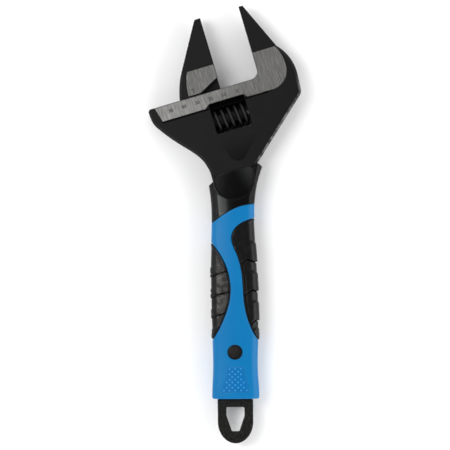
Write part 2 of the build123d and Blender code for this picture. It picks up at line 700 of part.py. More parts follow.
def thumb_scoops():
    """The scoops that thin the collar to the neck, on both faces."""
    floor_top = HEAD_THICK / 2 + SCOOP_SKIN
    scoop_floor = [
        (-NECK_DEPTH, floor_top),
        (-NECK_RISE, floor_top - SCOOP_FALL),
        (-NECK_RISE, 2 * HEAD_THICK),
        (-NECK_DEPTH / 2, 2 * HEAD_THICK),
        (-NECK_DEPTH / 2, floor_top),
    ]
    with BuildPart() as cut:
        add(face_wedges(scoop_floor))
        with BuildSketch(Plane.XY):
            with Locations((0, GRIP_TOP + SCOOP_RADIUS)):
                Circle(SCOOP_RADIUS)
                Rectangle(2 * SCOOP_RADIUS, 2 * COLLAR_RISE, align=(Align.CENTER, Align.MIN))
        extrude(amount=FAR, both=True, mode=Mode.INTERSECT)
    return cut.part


# Outline of the collar: above the wave of the sleeve, below the edge that runs along the head
with BuildSketch() as collar_outline:
    with BuildLine():
        wave = Spline([below(share * PALM, across) for share, across in WAVE])
        upper_edge = [
            (-NECK_LEFT - COLLAR_LEFT[0], -NECK_DEPTH - COLLAR_STEP - COLLAR_LEFT[1]),
            (-NECK_LEFT, -NECK_DEPTH - COLLAR_STEP),
            (-NECK_LEFT, -NECK_DEPTH),
            (-NECK_RIGHT, -NECK_DEPTH),
            (-NECK_RIGHT + COLLAR_RIGHT[0], -NECK_DEPTH - COLLAR_RIGHT[1]),
        ]
        corners = [head.from_local_coords((u, v)) for u, v in upper_edge]
        Polyline(wave @ 1, ((wave @ 1).X, corners[0].Y), *corners, wave @ 0)
    make_face()

# Grooves across the panels: chevrons on the right, bars on the left
with BuildSketch() as right_grooves:
    for share, across in CHEVRONS:
        drop = share * PALM
        with BuildLine():
            Polyline(
                below(drop + CHEVRON_DROP, across - CHEVRON_WING),
                below(drop, across),
                below(drop + CHEVRON_SLANT, across + SHANK_WIDTH),
            )
        trace(line_width=GROOVE_WIDTH)
with BuildSketch() as left_grooves:
    for share, across in BARS:
        drop = share * PALM
        with BuildLine():
            Line(below(drop, across), below(drop - BAR_SLANT, across - SHANK_WIDTH))
        trace(line_width=GROOVE_WIDTH)

# Patch that carries the dimples
with BuildSketch() as patch_outline:
    with BuildLine():
        patch_low = TAIL_LENGTH + PATCH_FOOT
        patch_high = patch_low + PATCH_HEIGHT
        Polyline(
            (-PATCH_WIDTH / 2, patch_low),
            (PATCH_WIDTH / 2, patch_low),
            (PATCH_TOP / 2, patch_high),
            (-PATCH_TOP / 2, patch_high),
            close=True,
        )
    make_face()
    fillet(vertices(), PATCH_CORNER)

# Hard inner sleeve, with a tongue under the collar and beds for the soft panels
with BuildPart() as grip_sleeve:
    add(grip_outer)
    fillet(faces().sort_by(Axis.Y)[0].edges(), GRIP_EDGE)
    add(prism(collar_outline.sketch), mode=Mode.SUBTRACT)
    split(bisect_by=Plane(below(0, 0), z_dir=(0, -1, 0)))
    add(prism(grip_edge(RIGHT_EDGE, 1, 0)), mode=Mode.SUBTRACT)
    add(prism(grip_edge(LEFT_EDGE, -1, 0)), mode=Mode.SUBTRACT)
    add(sleeve_core())
    add(steel_space, mode=Mode.SUBTRACT)
    add(surface_cut(patch_outline.sketch), mode=Mode.SUBTRACT)
    with Locations((0, PLUG_Y, 0)):
        Cylinder(PLUG_RADIUS + GRIP_FIT, FAR, mode=Mode.SUBTRACT)

# Soft collar round the neck
with BuildPart() as grip_collar:
    add(grip_outer)
    add(prism(collar_outline.sketch), mode=Mode.INTERSECT)
    add(sleeve_core(), mode=Mode.SUBTRACT)
    add(steel_space, mode=Mode.SUBTRACT)
    add(thumb_scoops(), mode=Mode.SUBTRACT)

# Soft side panels
with BuildPart() as grip_panel_right:
    add(grip_outer)
    add(prism(grip_edge(RIGHT_EDGE, 1, SEAM)), mode=Mode.INTERSECT)
    add(grip_core, mode=Mode.SUBTRACT)
    add(surface_cut(right_grooves.sketch), mode=Mode.SUBTRACT)
with BuildPart() as grip_panel_left:
    add(grip_outer)
    add(prism(grip_edge(LEFT_EDGE, -1, SEAM)), mode=Mode.INTERSECT)
    add(grip_core, mode=Mode.SUBTRACT)
    add(surface_cut(left_grooves.sketch), mode=Mode.SUBTRACT)

# Plug through the sleeve and the shank, domed at both ends
plug_seat = Plane((0, PLUG_Y, 0), x_dir=(1, 0, 0), z_dir=(0, -1, 0))
plug_foot = SHANK_THICK / 2 + GRIP_FIT
plug_face = SHANK_THICK / 2 + WAIST_WALL
with BuildPart() as grip_lock_plug:
    with BuildSketch(plug_seat):
        with BuildLine():
            Polyline(
                (0, plug_face + PLUG_DOME),
                (0, 0),
                (PLUG_STEM, 0),
                (PLUG_STEM, plug_foot),
                (PLUG_RADIUS, plug_foot),
                (PLUG_RADIUS, plug_face),
            )
            TangentArc((0, plug_face + PLUG_DOME), (PLUG_RADIUS, plug_face), tangent=(1, 0))
        make_face()
    revolve(axis=Axis(plug_seat.origin, (0, 0, 1)))
    mirror(about=Plane.XY)

os.makedirs("parts", exist_ok=True)
pieces = {
    "body": body,
    "movable_jaw": movable_jaw,
    "worm": worm,
    "worm_pin": worm_pin,
    "worm_spring": worm_spring,
    "grip_sleeve": grip_sleeve,
    "grip_collar": grip_collar,
    "grip_panel_right": grip_panel_right,
    "grip_panel_left": grip_panel_left,
    "grip_lock_plug": grip_lock_plug,
}
for name, piece in pieces.items():
    piece.part.label = name
    export_step(piece.part, f"parts/{name}.step")
    print(name, round(piece.part.volume), "cubic mm in", len(piece.part.solids()), "solid")
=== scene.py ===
# %% [markdown]
# # An adjustable wrench with a two-material grip
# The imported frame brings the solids: a forged body, a sliding jaw, a worm on its pin, and the grip.
# Blender gives each of them its finish and adds what only the eye needs: ground steel lands, the scale
# on the rail, the moulded relief of the soft grip and the raised dots near its end.
# Everything is in metres, in the frame of the solids, so nothing has to be fitted by hand. Sizes below
# are in millimetres where they aren't said to be something else, and MM turns them into metres.

# %% Load the frame
import json
import math
import bmesh
import bpy
import numpy as np
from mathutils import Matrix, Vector


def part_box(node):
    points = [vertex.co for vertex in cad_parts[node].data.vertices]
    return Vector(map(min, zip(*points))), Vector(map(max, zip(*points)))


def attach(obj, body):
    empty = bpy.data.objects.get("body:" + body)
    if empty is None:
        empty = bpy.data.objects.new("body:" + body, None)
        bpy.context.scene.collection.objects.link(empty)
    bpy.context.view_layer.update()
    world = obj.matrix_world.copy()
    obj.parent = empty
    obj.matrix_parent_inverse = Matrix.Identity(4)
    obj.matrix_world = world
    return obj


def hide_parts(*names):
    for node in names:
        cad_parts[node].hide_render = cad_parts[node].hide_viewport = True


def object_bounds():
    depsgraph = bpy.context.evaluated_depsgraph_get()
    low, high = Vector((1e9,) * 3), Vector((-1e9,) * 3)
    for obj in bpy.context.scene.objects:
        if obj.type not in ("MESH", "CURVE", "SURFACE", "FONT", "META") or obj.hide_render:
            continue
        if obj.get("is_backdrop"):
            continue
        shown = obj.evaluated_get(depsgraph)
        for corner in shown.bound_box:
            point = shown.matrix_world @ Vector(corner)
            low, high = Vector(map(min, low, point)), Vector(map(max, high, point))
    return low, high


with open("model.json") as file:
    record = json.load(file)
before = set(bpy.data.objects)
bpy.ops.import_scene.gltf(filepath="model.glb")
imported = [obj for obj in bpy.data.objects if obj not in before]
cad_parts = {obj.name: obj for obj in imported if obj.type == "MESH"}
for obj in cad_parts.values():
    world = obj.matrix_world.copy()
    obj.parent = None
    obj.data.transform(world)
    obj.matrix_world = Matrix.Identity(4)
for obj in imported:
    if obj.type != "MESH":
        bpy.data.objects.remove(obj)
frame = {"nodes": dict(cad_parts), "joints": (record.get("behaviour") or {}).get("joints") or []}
nodes = frame["nodes"]
cad_low, cad_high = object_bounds()
MM = 0.001
print("nodes in the frame:", ", ".join(sorted(nodes)))

# %% [markdown]
# The head leans against the handle, so marks on it are easier to place in its own two axes: along the
# rail towards the fixed jaw, and up towards the jaw tips. The sliding joint already knows the rail's
# direction, and the throat is where the rail meets the fixed jaw.

# %% Axes of the head
joints = {joint["name"]: joint for joint in frame["joints"]}
turn = joints["worm_turn"]
RAIL = -Vector(joints["jaw_slide"]["axis"]).normalized()
TIPS = Vector((-RAIL.y, RAIL.x, 0))
LEAN = math.atan2(RAIL.y, RAIL.x)
THROAT = Vector((0.0198, 0.2482, 0))  # metres


def on_head(along, up, out):
    """A point of the head in millimetres: along the rail, up to the tips, out of the face."""
    return THROAT + (RAIL * along + TIPS * up) * MM + Vector((0, 0, out * MM))


print("rail leans", round(math.degrees(LEAN), 2), "degrees")

# %% [markdown]
# ## Shared effects
# Forged coating, soft plastic and hard plastic all have a fine grain, only of another size, and all of
# them drift slowly in tone. Each effect is a node group, built once: it reads the piece's own
# coordinates, so the pattern stays on the piece when a joint moves it. These helpers make nodes.

# %% Node helpers
def new_group(name, inputs, outputs):
    """An empty shader group with number inputs and number outputs."""
    group = bpy.data.node_groups.new(name, "ShaderNodeTree")
    for label, value in inputs.items():
        socket = group.interface.new_socket(label, in_out="INPUT", socket_type="NodeSocketFloat")
        socket.default_value = value
    for label in outputs:
        group.interface.new_socket(label, in_out="OUTPUT", socket_type="NodeSocketFloat")
    return group, group.nodes.new("NodeGroupInput"), group.nodes.new("NodeGroupOutput")


def node(tree, kind, **settings):
    """A node of a kind, with its settings."""
    made = tree.nodes.new(kind)
    for key, value in settings.items():
        setattr(made, key, value)
    return made


def millimetres(tree):
    """The piece's own coordinates, in millimetres."""
    place = node(tree, "ShaderNodeTexCoord")
    scaled = node(tree, "ShaderNodeVectorMath", operation="SCALE")
    scaled.inputs["Scale"].default_value = 1 / MM
    tree.links.new(place.outputs["Object"], scaled.inputs[0])
    return scaled.outputs[0]


def axes_of(tree, vector):
    """The three numbers of a vector, as X, Y and Z."""
    parts = node(tree, "ShaderNodeSeparateXYZ")
    tree.links.new(vector, parts.inputs[0])
    return parts.outputs


def shrink(tree, vector, size):
    """Coordinates divided by a size, so that a texture of scale 1 has features of that size."""
    part = node(tree, "ShaderNodeMath", operation="DIVIDE")
    part.inputs[0].default_value = 1
    tree.links.new(size, part.inputs[1])
    scaled = node(tree, "ShaderNodeVectorMath", operation="SCALE")
    tree.links.new(vector, scaled.inputs[0])
    tree.links.new(part.outputs[0], scaled.inputs["Scale"])
    return scaled.outputs[0]


print("node helpers ready")

# %% [markdown]
# Grain and drift are the same noise at two sizes. An image could hold them too, but noise needs no file
# and has no seams on a solid that was never unfolded.

# %% Grain and drift groups
def noise_group(name, size, detail, output):
    """A group that puts out noise with features of a size."""
    group, inside, outside = new_group(name, {"Size": size}, [output])
    noise = node(group, "ShaderNodeTexNoise")
    noise.inputs["Scale"].default_value = 1
    noise.inputs["Detail"].default_value = detail
    place = shrink(group, millimetres(group), inside.outputs["Size"])
    group.links.new(place, noise.inputs["Vector"])
    group.links.new(noise.outputs["Fac"], outside.inputs[output])
    return group


grain_group = noise_group("fine_grain", 0.4, 3, "Height")
drift_group = noise_group("slow_drift", 14, 2, "Mask")
print("shared groups:", grain_group.name, drift_group.name)

# %% [markdown]
# The ground lands and the worm carry tool marks: long thin scratches that run one way. Noise that is
# stretched along the grinding direction looks like them. The group turns the coordinates by an angle
# first, so the marks can follow the head and not the handle.

# %% Tool marks group
marks_group, inside, outside = new_group("tool_marks", {"Turn": 0, "Length": 9, "Width": 0.14}, ["Lines"])
turned = node(marks_group, "ShaderNodeVectorRotate", rotation_type="Z_AXIS")
marks_group.links.new(millimetres(marks_group), turned.inputs["Vector"])
marks_group.links.new(inside.outputs["Turn"], turned.inputs["Angle"])
numbers = axes_of(marks_group, turned.outputs[0])
joined = node(marks_group, "ShaderNodeCombineXYZ")
for axis, size in (("X", "Width"), ("Y", "Length"), ("Z", "Length")):
    share = node(marks_group, "ShaderNodeMath", operation="DIVIDE")
    marks_group.links.new(numbers[axis], share.inputs[0])
    marks_group.links.new(inside.outputs[size], share.inputs[1])
    marks_group.links.new(share.outputs[0], joined.inputs[axis])
scratch = node(marks_group, "ShaderNodeTexNoise")
scratch.inputs["Scale"].default_value = 1
scratch.inputs["Detail"].default_value = 4
marks_group.links.new(joined.outputs[0], scratch.inputs["Vector"])
marks_group.links.new(scratch.outputs["Fac"], outside.inputs["Lines"])
print("shared group:", marks_group.name)

# %% [markdown]
# ## Finishes
# Each finish starts from one Principled shader. Numbers that are the same all over sit on the shader's
# own sockets, and only what changes over the surface comes through nodes.

# %% Finish helpers
def finish(name, base, roughness, metallic=0.0, specular=0.5):
    """A material with its shader's plain numbers set."""
    material = bpy.data.materials.new(name)
    material.use_nodes = True
    shader = material.node_tree.nodes["Principled BSDF"]
    shader.inputs["Base Color"].default_value = (*base, 1)
    shader.inputs["Roughness"].default_value = roughness
    shader.inputs["Metallic"].default_value = metallic
    shader.inputs["Specular IOR Level"].default_value = specular
    material.diffuse_color = (*base, 1)
    return material, material.node_tree, shader


def drive(tree, shader, **sockets):
    """Links what changes over the surface to the shader; Base_Color stands for Base Color."""
    for label, value in sockets.items():
        tree.links.new(value, shader.inputs[label.replace("_", " ")])


def effect(tree, group, **values):
    """One of the shared groups placed in a material with its own values."""
    placed = node(tree, "ShaderNodeGroup", node_tree=group)
    for label, value in values.items():
        placed.inputs[label].default_value = value
    return placed.outputs[0]


def stored(tree, label):
    """A number that a mesh stores for each of its points."""
    return node(tree, "ShaderNodeAttribute", attribute_name=label).outputs["Fac"]


print("finish helpers ready")

# %% [markdown]
# Between a noise and a socket there is nearly always one small step: a number is stretched to the range
# that is wanted, two colours are blended by it, or a height bends the normal. A colour ramp could do the
# first two, but plain numbers are easier to read and to change.

# %% Blends and bumps
def ramp(tree, factor, low, high, start=0.3, end=0.7):
    """A number that goes from low to high while the factor goes from start to end."""
    mapped = node(tree, "ShaderNodeMapRange")
    tree.links.new(factor, mapped.inputs["Value"])
    for label, value in (("From Min", start), ("From Max", end), ("To Min", low), ("To Max", high)):
        mapped.inputs[label].default_value = value
    return mapped.outputs["Result"]


def rise(tree, value, start, end):
    """A mask that is nought up to start and one from end on."""
    return ramp(tree, value, 0, 1, start, end)


def fall(tree, value, start, end):
    """A mask that is one up to start and nought from end on."""
    return ramp(tree, value, 1, 0, start, end)


def blend_colour(tree, factor, first, second):
    """A colour between two others, each given as numbers or as a socket."""
    mixed = node(tree, "ShaderNodeMix", data_type="RGBA")
    tree.links.new(factor, mixed.inputs["Factor"])
    # A Mix node has sockets for numbers and vectors before these for colours
    for socket, value in ((mixed.inputs[6], first), (mixed.inputs[7], second)):
        if isinstance(value, tuple):
            socket.default_value = (*value, 1)
        else:
            tree.links.new(value, socket)
    return mixed.outputs[2]


def bump(tree, height, depth, under=None):
    """A normal bumped by a height; depth is in millimetres."""
    bumped = node(tree, "ShaderNodeBump")
    bumped.inputs["Distance"].default_value = depth * MM
    tree.links.new(height, bumped.inputs["Height"])
    if under:
        tree.links.new(under, bumped.inputs["Normal"])
    return bumped.outputs["Normal"]


print("blends and bumps ready")

# %% [markdown]
# A finish often belongs to one place only: the thread's crests, the foot of a land, the floor of a dish.
# Such a place is a mask, a number from nought to one. Plain arithmetic takes masks together: a product
# keeps what lies in all of them, and the largest keeps what lies in any.

# %% Masks taken together
def combined(tree, operation, values):
    """Numbers taken together one after the other."""
    result = values[0]
    for value in values[1:]:
        taken = node(tree, "ShaderNodeMath", operation=operation)
        tree.links.new(result, taken.inputs[0])
        tree.links.new(value, taken.inputs[1])
        result = taken.outputs[0]
    return result


def product(tree, *values):
    """Numbers multiplied."""
    return combined(tree, "MULTIPLY", values)


def largest(tree, *values):
    """The largest of some numbers."""
    return combined(tree, "MAXIMUM", values)


def without_sign(tree, value):
    """A number without its sign."""
    size = node(tree, "ShaderNodeMath", operation="ABSOLUTE")
    tree.links.new(value, size.inputs[0])
    return size.outputs[0]


print("masks can be taken together")

# %% [markdown]
# Two measures tell most places apart: how far the surface is from an axis, and how far along a direction
# of the head. Both are worked out from the piece's own coordinates, so they move with the piece.

# %% Masks by place
def from_axis(tree, point, axis):
    """How far the surface is from a straight axis through a point that is given in metres."""
    offset = node(tree, "ShaderNodeVectorMath", operation="SUBTRACT")
    tree.links.new(millimetres(tree), offset.inputs[0])
    offset.inputs[1].default_value = Vector(point) / MM
    away = node(tree, "ShaderNodeVectorMath", operation="CROSS_PRODUCT")
    tree.links.new(offset.outputs[0], away.inputs[0])
    away.inputs[1].default_value = axis
    distance = node(tree, "ShaderNodeVectorMath", operation="LENGTH")
    tree.links.new(away.outputs[0], distance.inputs[0])
    return distance.outputs["Value"]


def along_way(tree, way):
    """How far the surface is along a direction of the head, from the throat."""
    shadow = node(tree, "ShaderNodeVectorMath", operation="DOT_PRODUCT")
    tree.links.new(millimetres(tree), shadow.inputs[0])
    shadow.inputs[1].default_value = way
    shifted = node(tree, "ShaderNodeMath", operation="SUBTRACT")
    tree.links.new(shadow.outputs["Value"], shifted.inputs[0])
    shifted.inputs[1].default_value = THROAT.dot(way) / MM
    return shifted.outputs[0]


print("masks by place ready")

# %% [markdown]
# The forging wears a thin black coating: dark grey more than black, satin, with a fine grain from the
# blasting under it. Four places differ. Chamfers on the right side of the head are rubbed to the steel
# in patches, and this paler steel is also a painted highlight where those chamfers catch the light.
# Painted shade darkens the foot of the rail's land, the jaw's runner in its bore, and the thumb dish
# below the window. They could be painted by hand, but a mask by place needs no unfolded skin. Each of
# them is a mask here, and the coating below uses them.

# %% Rubbed places, painted highlight and painted shade of the coating
OUT_OF_FACE = (0, 0, 1)
HEAD_FACE = 9.0  # the forging's face, from its middle
GRIP_TOP = 159.3  # foot of the grip's thumb scoop, from the hanging hole
WEAR_AND_HIGHLIGHT_FOOT = GRIP_TOP + 0.7  # wear comes in from here upwards
WINDOW_CLEAR = 17  # wear keeps this far from the worm's middle, out of its window
LAND_FOOT = -12.1  # lower edge of the rail's land, below the rail
LAND_START, LAND_STOP = -76, 2  # ends of the dark line along that edge
RUNNER_DEPTH = 9.2  # middle of the jaw's round runner, below the rail
RUNNER_SKIN = 6.5  # the runner's surface, from its middle
DISH_TOP = -38  # upper end of the dish, below the rail
DISH_FOOT = 176  # lower end of the dish, from the hanging hole
black_coat, tree, shader = finish("black_coat", (0.0032, 0.0032, 0.0033), 0.4, specular=0.16)
place = axes_of(tree, millimetres(tree))
facing = axes_of(tree, node(tree, "ShaderNodeNewGeometry").outputs["Normal"])
upright = without_sign(tree, facing["Z"])
run = along_way(tree, RAIL)
up = along_way(tree, TIPS)
patches = effect(tree, drift_group, Size=4.5)

# Rubbed steel on the right chamfers, which is also a painted highlight where they catch the light
chamfer = product(tree, rise(tree, upright, 0.5, 0.62), fall(tree, upright, 0.8, 0.9))
under_rail = product(tree, fall(tree, up, -12, -5), rise(tree, place["Y"], WEAR_AND_HIGHLIGHT_FOOT, WEAR_AND_HIGHLIGHT_FOOT + 10))
right_side = rise(tree, place["X"], 0, 8)
off_window = rise(tree, from_axis(tree, turn["pos_m"], OUT_OF_FACE), WINDOW_CLEAR, WINDOW_CLEAR + 2)
wear_and_highlight = product(tree, chamfer, under_rail, right_side, rise(tree, patches, 0.4, 0.66), off_window)

# Painted shade: a dark line along the foot of the rail's land, under its step
foot_line = ramp(tree, up, 0, 0.9, LAND_FOOT - 0.6, LAND_FOOT)
foot_line = product(tree, foot_line, fall(tree, up, LAND_FOOT + 0.6, LAND_FOOT + 0.9))
foot_line = product(tree, foot_line, fall(tree, run, LAND_STOP, LAND_STOP + 4))
foot_line = product(tree, foot_line, rise(tree, run, LAND_START - 2, LAND_START))
# Painted shade: the jaw's runner and its bore, seen deep in the window
from_runner = from_axis(tree, on_head(0, -RUNNER_DEPTH, 0), RAIL)
runner = ramp(tree, from_runner, 0.9, 0, RUNNER_SKIN, RUNNER_SKIN + 0.3)
# Painted shade: the thumb dish darkens as it deepens
sunk = ramp(tree, without_sign(tree, place["Z"]), 0.42, 0, HEAD_FACE - 0.85, HEAD_FACE - 0.05)
dish = product(tree, sunk, fall(tree, up, DISH_TOP - 4, DISH_TOP), rise(tree, upright, 0.9, 0.97))
dish = product(tree, dish, rise(tree, place["Y"], DISH_FOOT, DISH_FOOT + 2))
dark = largest(tree, foot_line, runner, dish)
print("the coating has rubbed chamfers and three dark places")

# %% [markdown]
# A dielectric keeps a faint mirror even when its colour is black, so a place of painted shade also
# turns metallic: a metal with next to no colour reflects next to nothing. The tail's end is left as
# forged, with a coarser and browner grain that comes in below the grip.

# %% Black coating
NEAR_BLACK = (0.0003, 0.0003, 0.0003)
# Rubbed steel, also standing as a painted highlight on the chamfers
RUBBED_STEEL_AND_HIGHLIGHT = (0.1, 0.1, 0.096)
TAIL_TOP = 13  # the tail's own finish ends here, from the hanging hole
fine = effect(tree, grain_group, Size=0.4)
coarse = effect(tree, grain_group, Size=1.5)
drift = effect(tree, drift_group, Size=16)
tail = fall(tree, place["Y"], TAIL_TOP, TAIL_TOP + 3)
coat_tone = blend_colour(tree, drift, (0.0024, 0.0024, 0.0025), (0.0042, 0.0042, 0.0043))
specks = rise(tree, coarse, 0.4, 0.64)
forged_tone = blend_colour(tree, specks, (0.0003, 0.0003, 0.0002), (0.0125, 0.0118, 0.0105))
coated = blend_colour(tree, tail, coat_tone, forged_tone)
# Painted shade: the three shaded places turn near black
coated = blend_colour(tree, dark, coated, NEAR_BLACK)
rough_tail = bump(tree, product(tree, coarse, tail), 0.4)
drive(
    tree, shader,
    Base_Color=blend_colour(tree, wear_and_highlight, coated, RUBBED_STEEL_AND_HIGHLIGHT),
    Metallic=largest(tree, ramp(tree, wear_and_highlight, 0, 0.6, 0, 1), dark),
    Roughness=ramp(tree, fine, 0.34, 0.46),
    Normal=bump(tree, fine, 0.018, rough_tail),
)
print("black coat over the forging, coarser on the tail and rubbed along the right chamfers")

# %% [markdown]
# Where the head was ground after coating, bare steel shows: satin, brushed towards the jaw tips, with
# broader and darker strokes among the fine ones. The rail's free end is painted brighter as a highlight,
# so the tone rises slowly along the rail. An anisotropic shader could brush it too, but strokes that are
# in colour, roughness and bump show from every side.

# %% Bare steel
HIGHLIGHT_START, HIGHLIGHT_FULL = -14, -66  # along the rail
bare_steel, tree, shader = finish("bare_steel", (0.36, 0.36, 0.35), 0.42, metallic=0.65)
lines = effect(tree, marks_group, Turn=-LEAN, Length=7, Width=0.16)
bands = effect(tree, marks_group, Turn=-LEAN, Length=22, Width=0.9)
strokes = rise(tree, lines, 0.33, 0.67)
brushed = blend_colour(tree, strokes, (0.055, 0.055, 0.053), (0.235, 0.232, 0.222))
ground = blend_colour(tree, ramp(tree, bands, 0, 0.55, 0.4, 0.65), brushed, (0.1, 0.099, 0.095))
# Painted highlight: a brighter tone towards the rail's free end
highlight_tone = blend_colour(tree, strokes, (0.09, 0.089, 0.085), (0.36, 0.356, 0.34))
free_end = fall(tree, along_way(tree, RAIL), HIGHLIGHT_FULL, HIGHLIGHT_START)
rail_end = product(tree, free_end, fall(tree, along_way(tree, TIPS), -1, 0))
drive(
    tree, shader,
    Base_Color=blend_colour(tree, rail_end, ground, highlight_tone),
    Roughness=ramp(tree, lines, 0.34, 0.5),
    Normal=bump(tree, lines, 0.006),
)
print("bare steel, brushed across the rail")

# %% [markdown]
# The worm is blackened and oily, and fingers rub only the crests of its thread. The mesh could store
# where they are, but the distance from the axis that the worm turns on says it too, and it stays right
# while the worm turns.

# %% Blackened steel
CREST = 8.5  # the thread is rubbed from here outwards, from the worm's axis
dark_steel, tree, shader = finish("dark_steel", (0.03, 0.03, 0.031), 0.45, metallic=0.15, specular=0.15)
lines = effect(tree, marks_group, Turn=0.4, Length=5, Width=0.2)
crest = rise(tree, from_axis(tree, turn["pos_m"], turn["axis"]), CREST - 0.6, CREST)
rubbed = product(tree, crest, ramp(tree, lines, 0.55, 1))
drive(
    tree, shader,
    Base_Color=blend_colour(tree, rubbed, (0.0025, 0.0025, 0.0027), (0.022, 0.022, 0.0215)),
    Roughness=ramp(tree, lines, 0.4, 0.55),
    Normal=bump(tree, lines, 0.008),
)
print("blackened steel, rubbed on the crests")

# %% [markdown]
# The sleeve is blue moulded plastic: semi-gloss, with the slight orange peel of the mould and a tone
# that drifts a little along the part. Near its end lies a patch of deeper blue. Its raised dots get a
# paler version of the same finish, which is a painted highlight on the dots.

# %% Blue plastic
def moulded_blue(name, deep, light, gloss):
    """Blue plastic between two tones; where a mesh stores a field, it is deeper."""
    material, tree, shader = finish(name, light, gloss, specular=0.16)
    peel = effect(tree, grain_group, Size=0.7)
    drift = effect(tree, drift_group, Size=22)
    tone = blend_colour(tree, drift, deep, light)
    deeper = blend_colour(tree, drift, (0.0004, 0.12, 0.33), (0.0008, 0.134, 0.364))
    drive(
        tree, shader,
        Base_Color=blend_colour(tree, stored(tree, "field"), tone, deeper),
        Roughness=ramp(tree, peel, gloss - 0.03, gloss + 0.06),
        Normal=bump(tree, peel, 0.012),
    )
    return material


blue_shell = moulded_blue("blue_shell", (0.001, 0.131, 0.332), (0.0018, 0.148, 0.372), 0.34)
# The dots' paler tones are a painted highlight
blue_dots_highlight = moulded_blue("blue_dots_highlight", (0.02, 0.215, 0.5), (0.03, 0.24, 0.55), 0.3)
print("blue plastic for the sleeve and its dots")

# %% [markdown]
# The plug is black plastic with the same mould finish. Its middle is a little brown and blotched, and a
# blacker ring along its edge is painted shade. The ring could be a piece of its own, but the plug is
# moulded in one, so the distance from its middle parts the two tones.

# %% Black plug
PLUG_SHADE_RING = 3.0  # the ring begins here, from the plug's middle
plug_black, tree, shader = finish("plug_black", (0.004, 0.004, 0.004), 0.4, specular=0.2)
plug_low, plug_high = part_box("grip_lock_plug")
plug_middle = (Vector(plug_low) + Vector(plug_high)) / 2
# Painted shade: a blacker ring along the plug's edge
centre = fall(tree, from_axis(tree, plug_middle, OUT_OF_FACE), PLUG_SHADE_RING, PLUG_SHADE_RING + 1.6)
blotch = effect(tree, drift_group, Size=2.2)
peel = effect(tree, grain_group, Size=0.5)
brownish = blend_colour(tree, rise(tree, blotch, 0.3, 0.7), (0.002, 0.0027, 0.004), (0.013, 0.0098, 0.0078))
drive(
    tree, shader,
    Base_Color=blend_colour(tree, centre, (0.0016, 0.0018, 0.002), brownish),
    Roughness=ramp(tree, peel, 0.32, 0.48),
    Normal=bump(tree, peel, 0.02),
)
print("black plug at", [round(value / MM, 1) for value in plug_middle])

# %% [markdown]
# The soft plastic over it is black too, but its pieces have several looks: a smooth rim beside the blue,
# inside it a pebbled field that looks greyer, grooves painted near black as shade, places painted paler
# as highlights, and painted shade on the collar. Masks by place would be long formulas, so the meshes
# made below store three numbers for each point: the field, the painted shade, stored as groove, and the
# painted highlight; the material reads them.

# %% Soft plastic
soft_black, tree, shader = finish("soft_black", (0.0022, 0.0022, 0.0024), 0.3, specular=0.18)
field = stored(tree, "field")
groove = stored(tree, "groove")
fine = effect(tree, grain_group, Size=0.35)
blotch = effect(tree, drift_group, Size=3.2)
streak = effect(tree, marks_group, Turn=0.0, Length=9, Width=0.8)
cells = node(tree, "ShaderNodeTexVoronoi")
cells.inputs["Scale"].default_value = 1.05
tree.links.new(millimetres(tree), cells.inputs["Vector"])
pebble = cells.outputs["Distance"]
smooth = blend_colour(tree, rise(tree, streak, 0.3, 0.7), (0.0009, 0.001, 0.0012), (0.003, 0.0032, 0.0034))
mottle = product(tree, rise(tree, blotch, 0.34, 0.66), ramp(tree, pebble, 1, 0.45))
greyer = blend_colour(tree, mottle, (0.013, 0.012, 0.0105), (0.115, 0.108, 0.098))
skin_tone = blend_colour(tree, field, smooth, greyer)
# Painted highlight: the paler places of the collar
skin_tone = blend_colour(tree, stored(tree, "rubbed"), skin_tone, (0.085, 0.091, 0.085))
drive(
    tree, shader,
    # Painted shade: grooves and the collar's shaded places turn near black
    Base_Color=blend_colour(tree, groove, skin_tone, NEAR_BLACK),
    Roughness=ramp(tree, field, 0.29, 0.58, 0, 1),
    Metallic=ramp(tree, groove, 0, 0.95, 0, 1),
    Normal=bump(tree, fine, 0.015, bump(tree, product(tree, pebble, field), -0.12)),
)
print("soft black with a pebbled field")

# %% [markdown]
# ## Metal pieces
# The forging, jaw, worm, pin, spring and plug already have their true shape, chamfers and all, so they
# stay as they are and only get their finish.

# %% Finish the nodes that stay
def dress(name, material):
    """Gives a node of the frame its finish."""
    nodes[name].data.materials.clear()
    nodes[name].data.materials.append(material)


dress("body", black_coat)
dress("movable_jaw", black_coat)
dress("worm", dark_steel)
dress("worm_pin", bare_steel)
dress("worm_spring", bare_steel)
dress("grip_lock_plug", plug_black)
print("nodes dressed")

# %% [markdown]
# The ground lands are slightly raised pads on both faces. Their bare steel could be a mask in the
# material, but a cut between two finishes is crisper as geometry. So the pads' own faces are copied
# into a thin skin that sits a hair above them.

# %% Ground lands
LAND_FACE = HEAD_FACE + 0.5
LAND_SLACK = 0.05  # a face of a pad lies no lower than this below the lands
SKIN_LIFT = 0.02
SAME_POINT = 7  # decimals of a metre to which corners are one


def new_piece(name, shape, material):
    """A piece with a finish, from a shape built in bmesh."""
    mesh = bpy.data.meshes.new(name)
    shape.to_mesh(mesh)
    shape.free()
    mesh.materials.append(material)
    piece = bpy.data.objects.new(name, mesh)
    bpy.context.scene.collection.objects.link(piece)
    return piece


def bare_land(name, source, body, side):
    """A skin of bare steel over the raised pads on one face of a node."""
    mesh = nodes[source].data
    skin = bmesh.new()
    corners = {}
    for face in mesh.polygons:
        points = [mesh.vertices[index].co for index in face.vertices]
        if min(side * point.z for point in points) < (LAND_FACE - LAND_SLACK) * MM:
            continue
        ring = []
        for point in points:
            key = tuple(round(value, SAME_POINT) for value in point)
            if key not in corners:
                corners[key] = skin.verts.new(point + Vector((0, 0, side * SKIN_LIFT * MM)))
            ring.append(corners[key])
        if len(set(ring)) == len(ring):
            skin.faces.new(ring)
    piece = new_piece(name, skin, bare_steel)
    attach(piece, body)
    return piece


